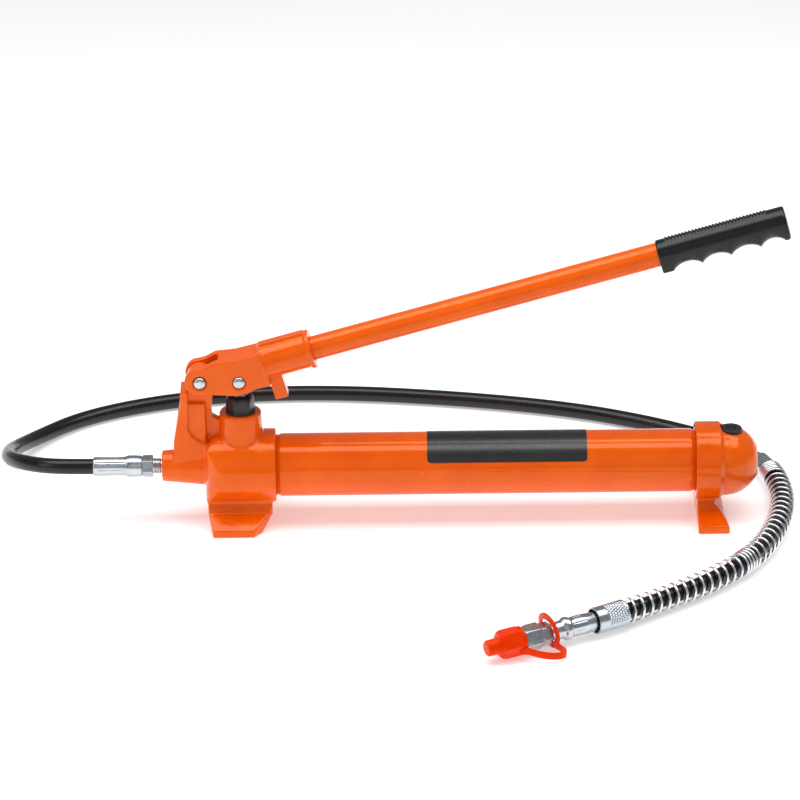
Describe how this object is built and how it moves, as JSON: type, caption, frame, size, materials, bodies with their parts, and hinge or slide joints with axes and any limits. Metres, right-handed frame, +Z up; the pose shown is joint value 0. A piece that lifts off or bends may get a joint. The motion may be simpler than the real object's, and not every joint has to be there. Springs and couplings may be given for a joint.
{
  "type": "hydraulic hand pump",
  "caption": "Lever-operated hydraulic hand pump with a tubular oil reservoir on two feet and a hose that ends in a spring guard and a capped coupler.",
  "frame": {"origin": "on the floor under the plunger axis, at the middle of the front foot", "axes": "+X along the reservoir from the outlet port to the rear cap, +Y to the release valve side, +Z up"},
  "size_m": [0.7611, 0.5771, 0.313],
  "materials": {
    "orange_paint": "glossy",
    "zinc": "bright zinc plated",
    "chrome_rod": "burnished",
    "black_oxide": "black oxide, satin",
    "steel": "machined",
    "spring_steel": "bright wire",
    "hose_rubber": "satin",
    "grip_rubber": "satin",
    "seal_rubber": "matt",
    "black_plastic": "matt",
    "cap_plastic": "satin",
    "label_film": "satin",
    "bronze": "machined"
  },
  "bodies": {
    "pump": {"pump_body": "orange_paint", "reservoir_tube": "orange_paint", "rear_cap": "orange_paint", "front_seal_ring": "seal_rubber", "rear_seal_ring": "seal_rubber", "tie_bolt": "steel", "inlet_ball_stop": "steel", "outlet_spring": "spring_steel", "relief_spring": "spring_steel", "relief_screw": "black_oxide", "suction_tube": "steel", "suction_strainer": "bronze", "plunger_seal": "seal_rubber", "gland_nut": "black_oxide", "wiper_ring": "seal_rubber", "pivot_pin": "zinc", "pivot_pin_clip": "black_oxide", "hose": "hose_rubber", "guard_cuff": "zinc", "guard_spring": "spring_steel", "guard_sleeve": "zinc", "outlet_nipple": "zinc", "front_ferrule": "zinc", "rear_ferrule": "zinc", "coupler_body": "zinc", "coupler_nut": "zinc", "coupler_nipple": "zinc", "dust_cap_strap": "cap_plastic", "label": "label_film"},
    "lever": {"lever_casting": "orange_paint", "plunger_pin": "zinc", "plunger_pin_clip": "black_oxide"},
    "plunger": {"plunger": "chrome_rod"},
    "handle": {"handle_tube": "orange_paint", "handle_grip": "grip_rubber"},
    "release_valve": {"release_spindle": "steel", "release_seal_ring": "seal_rubber", "release_knob": "black_plastic"},
    "fill_plug": {"fill_plug": "black_plastic", "fill_plug_washer": "seal_rubber"},
    "dust_cap": {"dust_cap": "cap_plastic"},
    "inlet_ball": {"inlet_ball": "steel"},
    "outlet_ball": {"outlet_ball": "steel"},
    "relief_ball": {"relief_ball": "steel"}
  },
  "joints": [
    {"name": "lever_pivot", "type": "hinge", "parent": "pump", "child": "lever", "pos_m": [-0.037, 0, 0.146], "axis": [0, -1, 0], "range_deg": [-6, 40]},
    {"name": "plunger_stroke", "type": "slide", "parent": "pump", "child": "plunger", "axis": [0, 0, 1], "range_m": [-0.006, 0.026]},
    {"name": "handle_pull", "type": "slide", "parent": "lever", "child": "handle", "axis": [0.962, 0, 0.2731], "range_m": [0, 0.06]},
    {"name": "release_turn", "type": "hinge", "parent": "pump", "child": "release_valve", "pos_m": [0.01, 0.033, 0.054], "axis": [0, 1, 0], "range_deg": [0, 270]},
    {"name": "fill_plug_lift", "type": "slide", "parent": "pump", "child": "fill_plug", "axis": [0, 0, 1], "range_m": [0, 0.03]},
    {"name": "dust_cap_pull", "type": "slide", "parent": "pump", "child": "dust_cap", "axis": [-0.8879, -0.46, 0], "range_m": [0, 0.025]},
    {"name": "inlet_ball_lift", "type": "slide", "parent": "pump", "child": "inlet_ball", "axis": [0, 0, 1], "range_m": [0, 0.002]},
    {"name": "outlet_ball_lift", "type": "slide", "parent": "pump", "child": "outlet_ball", "axis": [-1, 0, 0], "range_m": [0, 0.0012]},
    {"name": "relief_ball_lift", "type": "slide", "parent": "pump", "child": "relief_ball", "axis": [0, 1, 0], "range_m": [0, 0.0008]}
  ],
  "couplings": [
    {"joint": "plunger_stroke", "follows": "lever_pivot", "m_per_rad": 0.0348}
  ]
}
